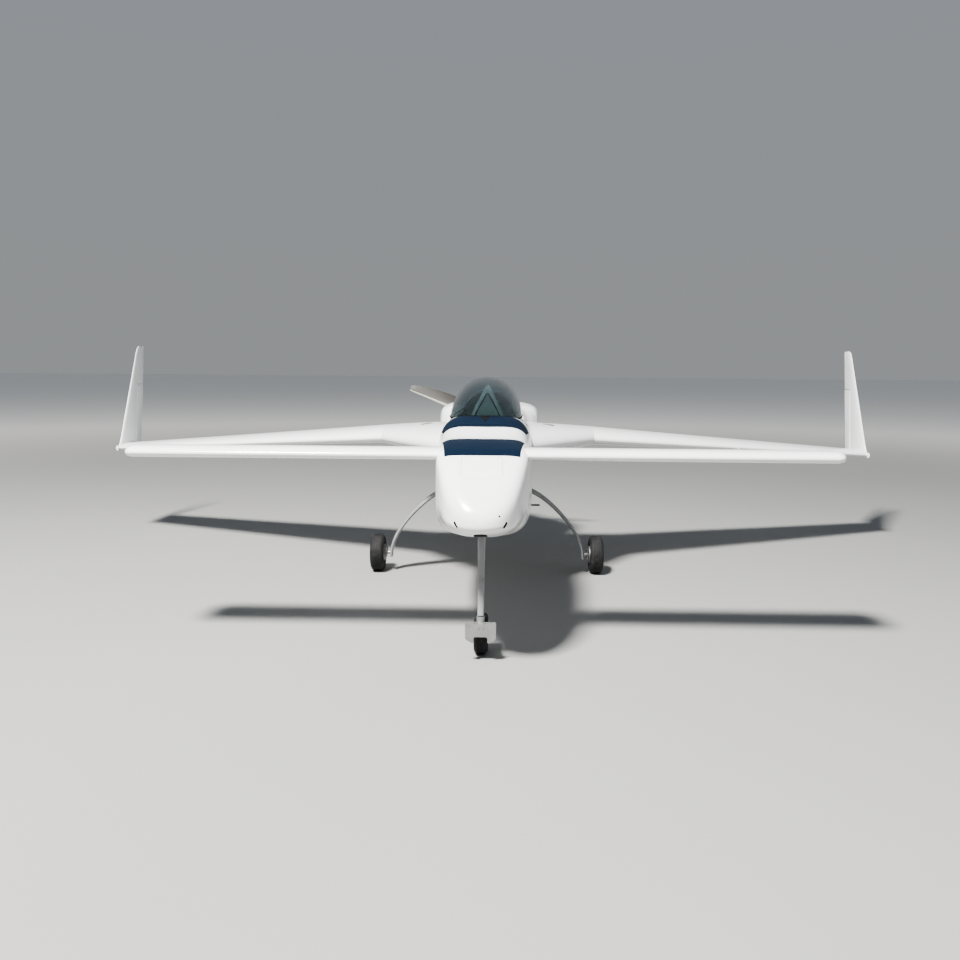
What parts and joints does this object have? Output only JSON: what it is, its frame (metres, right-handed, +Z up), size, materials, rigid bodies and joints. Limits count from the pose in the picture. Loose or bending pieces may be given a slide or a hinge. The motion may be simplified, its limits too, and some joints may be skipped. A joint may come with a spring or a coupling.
{
  "type": "two-seat canard pusher aeroplane",
  "caption": "Light aeroplane with a foreplane, swept wings, upturned winglets, bubble canopy over seats in line, pusher propeller and fixed wheels on slim legs.",
  "frame": {"origin": "on the ground under the middle of the aeroplane's box", "axes": "+X towards the port wing tip, -Y towards the nose, +Z up"},
  "size_m": [6.7688, 4.35, 1.7],
  "materials": {
    "white_gel_coat": "gloss",
    "navy_paint": "gloss",
    "tinted_acrylic": "gloss",
    "grey_composite": "satin",
    "bare_alloy": "satin",
    "plain_steel": "satin",
    "tyre_rubber": "matte",
    "blade_wood": "satin",
    "black_trim": "matte",
    "panel_metal": "matte",
    "seat_cloth": "matte",
    "battery_lead": "matte"
  },
  "bodies": {
    "airframe": {"canard": "white_gel_coat", "nose_shell": "white_gel_coat", "footwell_shell": "white_gel_coat", "fuselage_floor": "white_gel_coat", "fuselage_floor_rear": "white_gel_coat", "fuselage_side_port": "white_gel_coat", "fuselage_side_starboard": "white_gel_coat", "forward_deck": "white_gel_coat", "gear_cover": "white_gel_coat", "turtledeck": "white_gel_coat", "strake_port": "white_gel_coat", "strake_starboard": "white_gel_coat", "wing_port": "white_gel_coat", "wing_starboard": "white_gel_coat", "winglet_port": "white_gel_coat", "winglet_starboard": "white_gel_coat", "upper_cowl": "white_gel_coat", "lower_cowl": "white_gel_coat", "air_scoop": "white_gel_coat", "canard_cover": "navy_paint", "main_gear_bow": "grey_composite", "nose_strut": "grey_composite", "front_seat_back": "grey_composite", "rear_seat_shell": "grey_composite", "roll_frame": "grey_composite", "engine_block": "bare_alloy", "firewall": "plain_steel", "axle_and_brake_port": "plain_steel", "axle_and_brake_starboard": "plain_steel", "boarding_step": "black_trim", "side_stick": "black_trim", "throttle_lever": "black_trim", "instrument_panel": "panel_metal", "front_headrest": "seat_cloth", "front_back_cushion": "seat_cloth", "front_seat_cushion": "seat_cloth", "rear_back_cushion": "seat_cloth", "rear_seat_cushion": "seat_cloth", "battery": "battery_lead"},
    "propeller": {"propeller": "blade_wood", "spinner": "white_gel_coat"},
    "main_wheel_port": {"main_tyre_port": "tyre_rubber", "main_rim_port": "bare_alloy"},
    "main_wheel_starboard": {"main_tyre_starboard": "tyre_rubber", "main_rim_starboard": "bare_alloy"},
    "nose_fork": {"nose_fork": "bare_alloy", "guard_plate": "bare_alloy"},
    "nose_wheel": {"nose_tyre": "tyre_rubber", "nose_rim": "bare_alloy"},
    "canopy": {"canopy_glass": "tinted_acrylic", "canopy_frame": "white_gel_coat"},
    "elevator_port": {"elevator_port": "white_gel_coat"},
    "elevator_starboard": {"elevator_starboard": "white_gel_coat"},
    "aileron_port": {"aileron_port": "white_gel_coat"},
    "aileron_starboard": {"aileron_starboard": "white_gel_coat"},
    "rudder_port": {"rudder_port": "white_gel_coat"},
    "rudder_starboard": {"rudder_starboard": "white_gel_coat"},
    "belly_brake": {"belly_brake": "white_gel_coat"}
  },
  "joints": [
    {"name": "propeller_spin", "type": "hinge", "parent": "airframe", "child": "propeller", "pos_m": [0, 1.935, 1.07], "axis": [0, 1, 0], "continuous": true},
    {"name": "main_wheel_port_spin", "type": "hinge", "parent": "airframe", "child": "main_wheel_port", "pos_m": [0.815, 0.225, 0.14], "axis": [1, 0, 0], "continuous": true},
    {"name": "main_wheel_starboard_spin", "type": "hinge", "parent": "airframe", "child": "main_wheel_starboard", "pos_m": [-0.815, 0.225, 0.14], "axis": [1, 0, 0], "continuous": true},
    {"name": "nose_fork_caster", "type": "hinge", "parent": "airframe", "child": "nose_fork", "pos_m": [0, -1.887, 0.2], "axis": [0, 0, 1], "range_deg": [-35, 35]},
    {"name": "nose_wheel_spin", "type": "hinge", "parent": "nose_fork", "child": "nose_wheel", "pos_m": [0, -1.765, 0.11], "axis": [1, 0, 0], "continuous": true},
    {"name": "canopy_hinge", "type": "hinge", "parent": "airframe", "child": "canopy", "pos_m": [-0.272, 0, 1.13], "axis": [0, -1, 0], "range_deg": [0, 90]},
    {"name": "elevator_port_hinge", "type": "hinge", "parent": "airframe", "child": "elevator_port", "pos_m": [0.282, -1.505, 1.061], "axis": [1, 0, 0], "range_deg": [-25, 20]},
    {"name": "elevator_starboard_hinge", "type": "hinge", "parent": "airframe", "child": "elevator_starboard", "pos_m": [-0.282, -1.505, 1.061], "axis": [1, 0, 0], "range_deg": [-25, 20]},
    {"name": "aileron_port_hinge", "type": "hinge", "parent": "airframe", "child": "aileron_port", "pos_m": [0.88, 0.9823, 1.00342], "axis": [0.9251, 0.371, -0.0806], "range_deg": [-20, 20]},
    {"name": "aileron_starboard_hinge", "type": "hinge", "parent": "airframe", "child": "aileron_starboard", "pos_m": [-0.88, 0.9823, 1.00342], "axis": [0.9251, -0.371, 0.0806], "range_deg": [-20, 20]},
    {"name": "rudder_port_hinge", "type": "hinge", "parent": "airframe", "child": "rudder_port", "pos_m": [3.36, 2.035, 0.776], "axis": [0.0632, 0, -0.998], "range_deg": [0, 30]},
    {"name": "rudder_starboard_hinge", "type": "hinge", "parent": "airframe", "child": "rudder_starboard", "pos_m": [-3.36, 2.035, 0.776], "axis": [0.0632, 0, 0.998], "range_deg": [0, 30]},
    {"name": "belly_brake_hinge", "type": "hinge", "parent": "airframe", "child": "belly_brake", "pos_m": [0, -0.565, 0.5635], "axis": [-1, 0, 0], "range_deg": [0, 60]}
  ],
  "couplings": [
    {"joint": "elevator_starboard_hinge", "follows": "elevator_port_hinge", "ratio": 1},
    {"joint": "aileron_starboard_hinge", "follows": "aileron_port_hinge", "ratio": -1}
  ]
}
